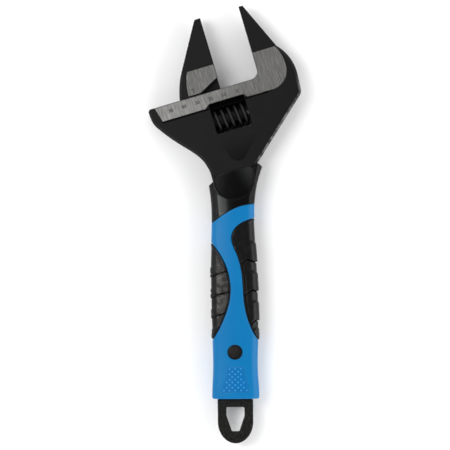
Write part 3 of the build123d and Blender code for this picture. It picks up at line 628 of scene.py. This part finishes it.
for side, word in ((1, "front"), (-1, "back")):
    rail_land = bare_land(f"rail_land_{word}", "body", "handle", side)
    jaw_land = bare_land(f"jaw_land_{word}", "movable_jaw", "jaw", side)
    print(word, "lands:", len(rail_land.data.polygons), "and", len(jaw_land.data.polygons), "faces")

# %% [markdown]
# ## Scale and index mark
# The rail carries a plain millimetre scale, etched dark, and the sliding jaw has an index mark that
# points at it. Text objects make the figures; they are turned into meshes and joined with a short tick,
# so that the scale is one piece. Etching is matt and uneven, so its tone follows the grain.

# %% Etched finish and flat shapes
MARK_LIFT = 0.045  # above the land, and so above its skin too
etched, tree, shader = finish("etched_marks", (0.045, 0.045, 0.047), 0.6)
fine = effect(tree, grain_group, Size=0.3)
drive(
    tree, shader,
    Base_Color=blend_colour(tree, fine, (0.012, 0.012, 0.013), (0.05, 0.05, 0.05)),
    Roughness=ramp(tree, fine, 0.5, 0.75),
)


def flat_shape(curve):
    """The points and faces of a curve or a text, which is then removed."""
    holder = bpy.data.objects.new("holder", curve)
    made = bpy.data.meshes.new_from_object(holder)
    points = [(vertex.co.x, vertex.co.y) for vertex in made.vertices]
    rings = [list(face.vertices) for face in made.polygons]
    bpy.data.objects.remove(holder)
    bpy.data.meshes.remove(made)
    bpy.data.curves.remove(curve)
    return points, rings


def flat_marks(name, shapes, body):
    """One thin piece from flat shapes on the head's face: each has points along and up, and rings."""
    marks = bmesh.new()
    for points, rings in shapes:
        made = [marks.verts.new(on_head(along, up, LAND_FACE + MARK_LIFT)) for along, up in points]
        for ring in rings:
            marks.faces.new([made[index] for index in ring])
    piece = new_piece(name, marks, etched)
    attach(piece, body)
    return piece


print("etched finish ready")

# %% [markdown]
# Nought on the scale lies about where the index stands with the jaws shut, and the readings run back
# along the rail. The index is a small flag on the jaw, above a tick on the rail.

# %% Scale and index
SCALE_START = -18.6  # nought on the scale, along the rail
SCALE_HEIGHT = -5.1  # middle of the figures, below the rail
FIGURE_SIZE = 3.3
FIGURE_STROKE = 0.1  # thickens the figures, as etching does
FLAG = [(-50.4, 4.9), (-50.4, 5.6), (-48.3, 5.9), (-48.3, 2.0), (-49.0, 2.0), (-49.0, 4.9)]
TICK = [(-48.925, -1.6), (-48.475, -1.6), (-48.475, -0.5), (-48.925, -0.5)]


def figure(words):
    """The faces of a short text, centred on its middle, as points in millimetres and rings."""
    curve = bpy.data.curves.new("figure", "FONT")
    curve.body = words
    curve.size = FIGURE_SIZE
    curve.offset = FIGURE_STROKE
    curve.align_x = "CENTER"
    curve.align_y = "CENTER"
    return flat_shape(curve)


shapes = [(TICK, [[0, 1, 2, 3]])]
for reading in range(0, 51, 10):
    points, rings = figure(str(reading))
    shapes.append(([(SCALE_START - reading + x, SCALE_HEIGHT + y) for x, y in points], rings))
rail_scale = flat_marks("rail_scale", shapes, "handle")
flat_marks("index_mark", [(FLAG, [[0, 5, 4, 3, 2, 1]])], "jaw")
print("scale has", len(rail_scale.data.polygons), "faces")

# %% [markdown]
# ## Grip
# Moulded plastic has no sharp edges and its soft panels swell in scales, like overlapping shingles. Each
# grip piece starts from a copy of its solid. A voxel remesh turns the copy into an even skin that can be
# shaped point by point, and a little smoothing rounds the edges as a mould does.

# %% Even skins from the solids
def moulded_copy(name, source, voxel, passes):
    """A new piece with the shape of a node, as an even smooth skin."""
    mesh = bpy.data.meshes.new(name)
    shell = bmesh.new()
    shell.from_mesh(nodes[source].data)
    bmesh.ops.remove_doubles(shell, verts=shell.verts, dist=1e-6)
    shell.to_mesh(mesh)
    shell.free()
    piece = bpy.data.objects.new(name, mesh)
    bpy.context.scene.collection.objects.link(piece)
    even = piece.modifiers.new("even", "REMESH")
    even.mode = "VOXEL"
    even.voxel_size = voxel * MM
    even.use_smooth_shade = True
    soften = piece.modifiers.new("soften", "SMOOTH")
    soften.factor = 0.5
    soften.iterations = passes
    graph = bpy.context.evaluated_depsgraph_get()
    made = bpy.data.meshes.new_from_object(piece.evaluated_get(graph))
    piece.modifiers.clear()
    piece.data = made
    bpy.data.meshes.remove(mesh)
    made.name = name
    return piece


def put_on(piece, material, source):
    """Finish, body and slot of a piece that stands for a node."""
    piece.data.materials.clear()
    piece.data.materials.append(material)
    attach(piece, "handle")
    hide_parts(source)


print("skins are remeshed copies of the solids")

# %% [markdown]
# A skin is shaped as arrays: all its points at once, pushed along their normals by a depth that a
# formula gives. The whole grip shares one more bend. Its faces are slightly crowned, its right side
# stands a little fuller than the solid's, and its skirt reaches a little further down.

# %% Shaping skins as arrays
CROWN = 0.15  # share of its thickness that the grip loses at its sides
HALF_WIDTH = 15
FULLER_RIGHT = 0.5
LOWER_END = 0.45


def read_skin(piece):
    """Points and normals of a skin, in millimetres, as arrays."""
    count = len(piece.data.vertices)
    points = np.empty(count * 3)
    normals = np.empty(count * 3)
    piece.data.vertices.foreach_get("co", points)
    piece.data.vertices.foreach_get("normal", normals)
    return points.reshape(-1, 3) / MM, normals.reshape(-1, 3)


def write_skin(piece, points, **numbers):
    """Puts moved points back, and stores numbers for each point, such as how far it is in a field."""
    piece.data.vertices.foreach_set("co", (points * MM).ravel())
    for label, values in numbers.items():
        kept = piece.data.attributes.new(label, "FLOAT", "POINT")
        kept.data.foreach_set("value", values)
    piece.data.update()


def soft_step(values, low, high):
    """Nought below low, one above high, and a smooth rise between."""
    share = np.clip((values - low) / (high - low), 0, 1)
    return share * share * (3 - 2 * share)


def crowned(points):
    """Points of the grip with its faces crowned, its right side fuller and its skirt longer."""
    bent = points.copy()
    bent[:, 2] *= 1 - CROWN * (points[:, 0] / HALF_WIDTH) ** 2
    bent[:, 0] += FULLER_RIGHT * soft_step(points[:, 0], 4, 12)
    bent[:, 1] -= LOWER_END * (1 - soft_step(points[:, 1], 15.5, 20))
    return bent


print("skin helpers ready")

# %% [markdown]
# Each side panel has an edge that waves along the blue, and grooves across it: chevrons on the right,
# slanted bars on the left. Both follow the lines of the solids, so the distance from the edge tells rim
# and field apart, and the drop below a groove tells where a scale begins.

# %% Edges and grooves of the panels
PALM = 110.3  # from the scoop's foot to the plug
# Points of the edges: share of the palm below the scoop's foot, and how far across
RIGHT_EDGE = [
    (0.105, 22.0), (0.128, 11.0), (0.167, 2.8), (0.232, -1.8), (0.363, 2.2),
    (0.508, 5.6), (0.653, 6.6), (0.78, 9.0), (0.961, 20.0),
]
LEFT_EDGE = [(0.24, -20.0), (0.33, -12.0), (0.435, -5.9), (0.598, -2.8), (0.743, -6.1), (0.961, -19.0)]
# Grooves: drop from the scoop's foot, and how far out each line bends. The first only starts a scale
# and isn't cut, and the last is the panel's end
RIGHT_GROOVES = [(21.0, 7.0), (43.0, 9.0), (65.1, 12.4), (87.1, 14.6), (102.5, 16.0)]
LEFT_GROOVES = [(38.0, 12.0), (53.4, 12.0), (68.6, 12.0), (83.4, 12.0), (98.0, 12.0)]


def wave_line(edge):
    """Many points along a smooth curve through an edge's points."""
    curve = bpy.data.curves.new("wave", "CURVE")
    curve.dimensions = "2D"
    curve.resolution_u = 24
    spline = curve.splines.new("BEZIER")
    spline.bezier_points.add(len(edge) - 1)
    for point, (share, across) in zip(spline.bezier_points, edge):
        point.co = (across, GRIP_TOP - share * PALM, 0)
        point.handle_left_type = point.handle_right_type = "AUTO"
    return flat_shape(curve)[0]


def distance_to(line, points):
    """How far points are from a line in the plane of the face."""
    nearest = np.full(len(points), np.inf)
    for x, y in line:
        nearest = np.minimum(nearest, np.hypot(points[:, 0] - x, points[:, 1] - y))
    return nearest


def below_line(points, groove, outer, inner):
    """How far points lie below a groove; its line bends and has a slope on each side of the bend."""
    drop, bend = groove
    out = np.abs(points[:, 0]) - bend
    return GRIP_TOP - points[:, 1] - drop - np.where(out > 0, outer * out, -inner * out)


print("edges have", len(RIGHT_EDGE), "and", len(LEFT_EDGE), "points")

# %% [markdown]
# A scale rises gently on its way down the grip, stands out most just above the next groove and steps in
# there, like shingles laid from the collar down. A subdivided sculpt would do as well, but formulas on
# the skin keep the scales in step with the grooves.

# %% Scales of the panels
GROOVE_WIDTH = 0.5
SCALE_SLOPE = 0.12  # share of a scale over which it comes up


def scales_and_cuts(points, grooves, slopes, step):
    """How far each point stands in a scale, and how far in a groove, both from nought to one."""
    scale = np.zeros(len(points))
    cut = np.zeros(len(points))
    for above, under in zip(grooves, grooves[1:]):
        past = below_line(points, above, *slopes)
        ahead = -below_line(points, under, *slopes)
        share = past / np.maximum(past + ahead, 0.1)
        rising = soft_step(share, step, step + SCALE_SLOPE) * (0.6 + 0.4 * share)
        shingle = rising * soft_step(ahead, 0.1, 0.7)
        scale = np.where((past >= 0) & (ahead >= 0), shingle, scale)
        if above != grooves[0]:
            cut = np.maximum(cut, np.exp(-((past / GROOVE_WIDTH) ** 2)))
    return scale, cut


print("scales:", len(RIGHT_GROOVES) - 1, "on the right and", len(LEFT_GROOVES) - 1, "on the left")

# %% [markdown]
# The panels show three things: a smooth rim, a field that lies a little lower inside it, and the scales.
# On the front the scales are low, and at the sides, where fingers pull on them, they are high.

# %% Soft side panels
PANEL_VOXEL = 0.38
RIM = 2.3  # width of the smooth rim
RIM_BLUR = 0.3
SINK = 0.22  # how far the field lies below the rim
FIELD_SIDE = 12.8  # the pebbles end this far from the middle, where the side turns away
FIELD_BLUR = 0.6
GROOVE_DEPTH = 0.15
SEAM_FILL = 0.35  # panel edges swell into the seam round them
FRONT_SHARE = 0.3  # height of a scale on the front, as a share of its height at the side


def soft_panel(name, source, edge, grooves, slopes, step, height, pebbles):
    """A soft panel with its rim, its field and its scales."""
    piece = moulded_copy(name, source, PANEL_VOXEL, 3)
    points, normals = read_skin(piece)
    across = np.abs(points[:, 0])
    sides = np.sign(points)
    outer = soft_step(normals[:, 0] * sides[:, 0] + normals[:, 2] * sides[:, 2], 0.1, 0.6)
    inwards = distance_to(wave_line(edge), points)
    inside_rim = soft_step(inwards, RIM - RIM_BLUR, RIM + RIM_BLUR)
    at_side = soft_step(across, 9.5, 14.5)
    scale, cut = scales_and_cuts(points, grooves, slopes, step)
    raised = scale * height * (FRONT_SHARE + (1 - FRONT_SHARE) * at_side)
    relief = raised - (SINK + GROOVE_DEPTH * cut) * inside_rim
    lift = outer * relief + (1 - outer) * SEAM_FILL
    on_front = 1 - soft_step(across, FIELD_SIDE - FIELD_BLUR, FIELD_SIDE + FIELD_BLUR)
    towards_rim = 0.5 + 0.5 * soft_step(inwards, RIM, RIM + 5)
    pebbled = inside_rim * outer * on_front * (1 - cut) * towards_rim * pebbles
    # The groove number marks where the grooves are painted near black, as shade
    write_skin(piece, crowned(points + normals * lift[:, None]), field=pebbled, groove=cut * outer)
    put_on(piece, soft_black, source)
    print(name, "has", len(points), "points")


soft_panel(
    "grip_right_panel", "grip_panel_right", RIGHT_EDGE, RIGHT_GROOVES,
    slopes=(0.35, 0.85), step=0.3, height=0.9, pebbles=0.04,
)
soft_panel(
    "grip_left_panel", "grip_panel_left", LEFT_EDGE, LEFT_GROOVES,
    slopes=(0.62, -0.25), step=0.45, height=0.65, pebbles=1.0,
)

# %% [markdown]
# The collar is the same soft plastic, smooth all over, with a thumb scoop on each face. A crease runs
# down it on either side of the scoop. Beside the left one the face is hollowed to a broad facet. Cutting
# them with a boolean would leave sharp edges, so the skin's points are pushed in along two lines.

# %% Creases of the collar
COLLAR_VOXEL = 0.4
# Creases: how far across and how far below the scoop's foot they start and end
LEFT_CREASE = ((-12.4, -13.0), (-10.6, 13.0))
RIGHT_CREASE = ((15.6, -25.0), (12.6, 2.0))
SCOOP_EDGE = 10.2  # the scoop's floor lies lower than this, the collar's face higher


def beside(points, line):
    """Where points are along a straight line, how far to its right, and the line's length."""
    start, end = (np.array([across, GRIP_TOP - drop]) for across, drop in line)
    length = np.linalg.norm(end - start)
    way = (end - start) / length
    offset = points[:, :2] - start
    return offset @ way, offset[:, 1] * way[0] - offset[:, 0] * way[1], length


def crease(points, line, depth, left_width, right_width):
    """How deep a crease is at each point; its two sides may be of unlike width."""
    run, right_of, length = beside(points, line)
    ends = soft_step(run, -1.0, 1.5) * soft_step(length - run, -1.0, 4.0)
    width = np.where(right_of > 0, right_width, left_width)
    return depth * np.exp(-((right_of / width) ** 2)) * ends


collar = moulded_copy("grip_soft_collar", "grip_collar", COLLAR_VOXEL, 3)
points, normals = read_skin(collar)
across, along, out = points[:, 0], points[:, 1], np.abs(points[:, 2])
facing = np.abs(normals[:, 2])
on_face = soft_step(out, SCOOP_EDGE, SCOOP_EDGE + 0.8)
left_crease = crease(points, LEFT_CREASE, depth=1.2, left_width=0.6, right_width=3.4) * on_face
right_crease = crease(points, RIGHT_CREASE, depth=0.5, left_width=0.8, right_width=0.8)
depth = np.maximum(left_crease, right_crease) * soft_step(facing, 0.3, 0.7)
print("collar has", len(points), "points")

# %% [markdown]
# Three places of the collar are painted paler as highlights: the facet beside the left crease, the
# scoop's left lip, and the scoop's upper right corner. The rest of the face and of the scoop is painted
# shade, a deeper black. Painting by hand could do this on one face; formulas of place and facing keep
# both faces alike.

# %% Painted highlights and shade of the collar
FACET_FADE = 9.0  # the facet darkens over this width
LIP_TONE = 0.6
CORNER_HIGHLIGHT_TONE = 0.2
SHADE_TONE = 0.4

# Painted highlights: the facet, the lip and the scoop's upper right corner
right_of = beside(points, LEFT_CREASE)[1]
facet = soft_step(right_of, -0.2, 0.4) * (1 - np.clip(right_of / FACET_FADE, 0, 1)) ** 2
facet *= on_face * soft_step(facing, 0.8, 0.95)
lip = on_face * soft_step(1 - facing, 0.08, 0.3) * soft_step(normals[:, 0], 0.1, 0.4)
lip *= LIP_TONE * (1 - soft_step(across, -11.5, -9.5)) * soft_step(along, GRIP_TOP + 3, GRIP_TOP + 6)
in_scoop = (1 - on_face) * soft_step(facing, 0.9, 0.97) * soft_step(along, GRIP_TOP - 1, GRIP_TOP + 1)
corner_highlight = CORNER_HIGHLIGHT_TONE * in_scoop * soft_step(across + 0.6 * (along - GRIP_TOP), 10, 27)
rubbed = np.maximum(np.maximum(facet, lip), corner_highlight)
# Painted shade over the scoop and the right of the face, kept off the painted highlights
shaded = SHADE_TONE * np.maximum(in_scoop, soft_step(across, -8, 0)) * (1 - np.clip(rubbed / 0.2, 0, 1))
skin = crowned(points - normals * depth[:, None])
# The groove number carries this painted shade
write_skin(collar, skin, field=np.zeros(len(points)), groove=shaded, rubbed=rubbed)
put_on(collar, soft_black, "grip_collar")
print("paler points on the collar:", int((rubbed > 0.1).sum()))

# %% [markdown]
# The blue sleeve keeps its solid's shape, with the edges of the beds, of the plug's hole and of the
# sunk patch rounded by the skin. The patch narrows towards the plug. It could be an inlay, but the real
# one has no seam, so its points are stored as a field and the finish is deeper there.

# %% Blue sleeve
SLEEVE_VOXEL = 0.5
PATCH_LOW, PATCH_HIGH = 19.8, 38.3
PATCH_HALF_LOW, PATCH_HALF_HIGH = 10.0, 5.8


def patch_half(y):
    """Half the patch's width at a height."""
    return PATCH_HALF_LOW + (PATCH_HALF_HIGH - PATCH_HALF_LOW) * (y - PATCH_LOW) / (PATCH_HIGH - PATCH_LOW)


sleeve = moulded_copy("grip_blue_sleeve", "grip_sleeve", SLEEVE_VOXEL, 2)
points, normals = read_skin(sleeve)
to_side = patch_half(points[:, 1]) - np.abs(points[:, 0])
to_end = np.minimum(points[:, 1] - PATCH_LOW, PATCH_HIGH - points[:, 1])
patch = soft_step(np.minimum(to_side, to_end), -0.2, 0.4) * soft_step(np.abs(normals[:, 2]), 0.6, 0.9)
write_skin(sleeve, crowned(points), field=patch)
put_on(sleeve, blue_shell, "grip_sleeve")
print("sleeve has", len(sleeve.data.vertices), "points")

# %% [markdown]
# The patch is filled with raised dots. They could be a bump in the finish, but they show against the
# light at the grip's end, so they are real little domes, and each has a foot that is sunk a little.

# %% One dot
DOT_RADIUS = 0.8
DOT_RISE = 0.6
DOT_SINK = 0.1
DOT_RINGS = 4
DOT_SPOKES = 10
RING_ANGLE = 27  # degrees from one ring to the next


def dome(shape, centre, side):
    """A small dome on one face of the grip, added to a shape built in bmesh."""
    def face(*corners):
        shape.faces.new(corners if side > 0 else corners[::-1]).smooth = True

    rings = []
    for step in range(DOT_RINGS):
        angle = math.radians(step * RING_ANGLE)
        radius = DOT_RADIUS * math.cos(angle)
        height = DOT_RISE * math.sin(angle) - (DOT_SINK if step == 0 else 0)
        ring = []
        for spoke in range(DOT_SPOKES):
            turned = math.tau * spoke / DOT_SPOKES
            point = Vector((math.cos(turned) * radius, math.sin(turned) * radius, side * height))
            ring.append(shape.verts.new((centre + point) * MM))
        rings.append(ring)
    top = shape.verts.new((centre + Vector((0, 0, side * DOT_RISE))) * MM)
    for spoke in range(DOT_SPOKES):
        after = (spoke + 1) % DOT_SPOKES
        for low, high in zip(rings, rings[1:]):
            face(low[spoke], low[after], high[after], high[spoke])
        face(rings[-1][spoke], rings[-1][after], top)


print("a dot is", DOT_RADIUS * 2, "mm wide")

# %% [markdown]
# The dots stand in staggered rows inside the patch's outline, and each sits where a ray from outside
# meets the sleeve, so that they follow its crown.

# %% Dots on the patch
ROW_STEP = 1.95
COLUMN_STEP = 4.15
FIRST_ROW = 1.5  # above the patch's lower end
LAST_ROW_ROOM = 2.4
SIDE_MARGIN = 1.3
OUTSIDE = 0.03  # metres from the middle, well clear of the grip


def dotted_patch(name, side):
    """The dots on one face of the grip."""
    dots = bmesh.new()
    count = 0
    rows = int((PATCH_HIGH - PATCH_LOW - LAST_ROW_ROOM) / ROW_STEP) + 1
    for row in range(rows):
        y = PATCH_LOW + FIRST_ROW + row * ROW_STEP
        for column in range(-4, 5):
            x = column * COLUMN_STEP + (row % 2) * COLUMN_STEP / 2
            if abs(x) > patch_half(y) - SIDE_MARGIN:
                continue
            start = Vector((x * MM, y * MM, side * OUTSIDE))
            hit, spot = sleeve.ray_cast(start, Vector((0, 0, -side)))[:2]
            if hit:
                dome(dots, spot / MM, side)
                count += 1
    piece = new_piece(name, dots, blue_dots_highlight)
    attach(piece, "handle")
    print(name, "has", count, "dots")


bpy.context.view_layer.update()
dotted_patch("grip_dots_front", 1)
dotted_patch("grip_dots_back", -1)

# %% [markdown]
# ## Stage
# The wrench lies on a plain pale floor. Little light gets under the head and through its narrow gaps, so
# the floor is darkened where the tool shelters it: the occlusion node measures how open each point is.

# %% Floor
FLOOR = cad_low.z - 0.0002  # metres, a hair below the grip
FLOOR_REACH = 6  # metres
SHELTER_REACH = 0.03  # metres
corners = [(-1, -1), (1, -1), (1, 1), (-1, 1)]
floor_mesh = bpy.data.meshes.new("floor")
floor_mesh.from_pydata([(x * FLOOR_REACH, y * FLOOR_REACH, FLOOR) for x, y in corners], [], [(0, 1, 2, 3)])
floor = bpy.data.objects.new("floor", floor_mesh)
bpy.context.scene.collection.objects.link(floor)
pale, tree, shader = finish("pale_floor", (0.93, 0.93, 0.93), 0.8)
drift = effect(tree, drift_group, Size=300)
shelter = node(tree, "ShaderNodeAmbientOcclusion", samples=8)
shelter.inputs["Distance"].default_value = SHELTER_REACH
lit = rise(tree, shelter.outputs["AO"], 0.05, 0.18)
floor_tone = blend_colour(tree, drift, (0.92, 0.92, 0.92), (0.94, 0.94, 0.94))
drive(tree, shader, Base_Color=blend_colour(tree, lit, (0.01, 0.01, 0.01), floor_tone))
floor_mesh.materials.append(pale)
floor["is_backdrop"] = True
print("floor at", round(FLOOR / MM, 2), "mm")

# %% [markdown]
# The photograph looks straight down on the wrench with next to no perspective. An orthographic camera
# would do nearly as well, but a long lens from high above keeps the last of it. The camera's turn
# follows the handle.

# %% Camera
PHOTO_WIDTH = 0.32607  # metres across the photograph at the level of the rail's face
DISTANCE = 2.4  # metres
SENSOR = 36
VIEW_CENTRE = (-0.00633, 0.1412)  # metres
LEAN_OF_VIEW = math.radians(0.55)
camera_data = bpy.data.cameras.new("camera")
camera_data.sensor_width = SENSOR
camera_data.lens = SENSOR * DISTANCE / PHOTO_WIDTH
camera = bpy.data.objects.new("camera", camera_data)
camera.location = (*VIEW_CENTRE, DISTANCE + LAND_FACE * MM)
camera.rotation_euler = (0, 0, -LEAN_OF_VIEW)
bpy.context.scene.collection.objects.link(camera)
bpy.context.scene.camera = camera
print("lens", round(camera_data.lens, 1), "mm")

# %% [markdown]
# A black tool seen from above mirrors what hangs over it, so most of the light comes from soft boxes at
# the sides. Two low wide boxes light the chamfers, and a high one on the left gives the brushed lands
# their sheen. A picture of a studio could light it as well, but with boxes each reflection can be moved.

# %% Lights
MIDDLE = (0, 0.14, 0)  # metres, as all places here


def soft_box(name, place, target, size, power):
    """A rectangular soft light that looks at a point; power is in watts."""
    data = bpy.data.lights.new(name, "AREA")
    data.shape = "RECTANGLE"
    data.size, data.size_y = size
    data.energy = power
    lamp = bpy.data.objects.new(name, data)
    lamp.location = place
    lamp.rotation_euler = (Vector(target) - Vector(place)).to_track_quat("-Z", "Y").to_euler()
    bpy.context.scene.collection.objects.link(lamp)


soft_box("left_box", (-1.3, 0.45, 0.75), MIDDLE, (0.9, 1.3), 4)
soft_box("right_box", (1.3, -0.05, 0.75), MIDDLE, (0.9, 1.3), 11)
soft_box("near_box", (0.1, -1.3, 0.7), MIDDLE, (1.6, 0.7), 8)
soft_box("far_box", (0.0, 1.6, 0.9), MIDDLE, (1.6, 0.7), 6.5)
soft_box("high_box", (-0.75, 0.4, 1.35), MIDDLE, (0.5, 0.9), 11)
soft_box("low_right_box", (1.3, -0.75, 0.3), (0.03, 0.2, 0), (1.5, 0.6), 7)
soft_box("low_left_box", (-1.1, -0.95, 0.3), (-0.05, 0.2, 0), (1.3, 0.6), 3)
print("seven soft boxes")

# %% [markdown]
# The studio around them is a plain white gradient, bright at the horizon and dim overhead, so that the
# flat black faces stay black. The Standard view keeps colours as they are, and the pale floor white.

# %% Studio
HORIZON_LIGHT, OVERHEAD_LIGHT = 0.85, 0.3
world = bpy.data.worlds.new("studio")
world.use_nodes = True
tree = world.node_tree
sky = node(tree, "ShaderNodeTexCoord")
background = tree.nodes["Background"]
background.inputs["Color"].default_value = (1, 1, 1, 1)
height = axes_of(tree, sky.outputs["Generated"])["Z"]
strength = ramp(tree, height, HORIZON_LIGHT, OVERHEAD_LIGHT, start=0.1, end=0.95)
tree.links.new(strength, background.inputs["Strength"])
bpy.context.scene.world = world
bpy.context.scene.view_settings.view_transform = "Standard"
print("a studio that is dim overhead")

# %% Sizes and finish
low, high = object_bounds()
for word, box in (("solids", cad_high - cad_low), ("dressed", high - low)):
    print(word, [round(value / MM, 1) for value in box])
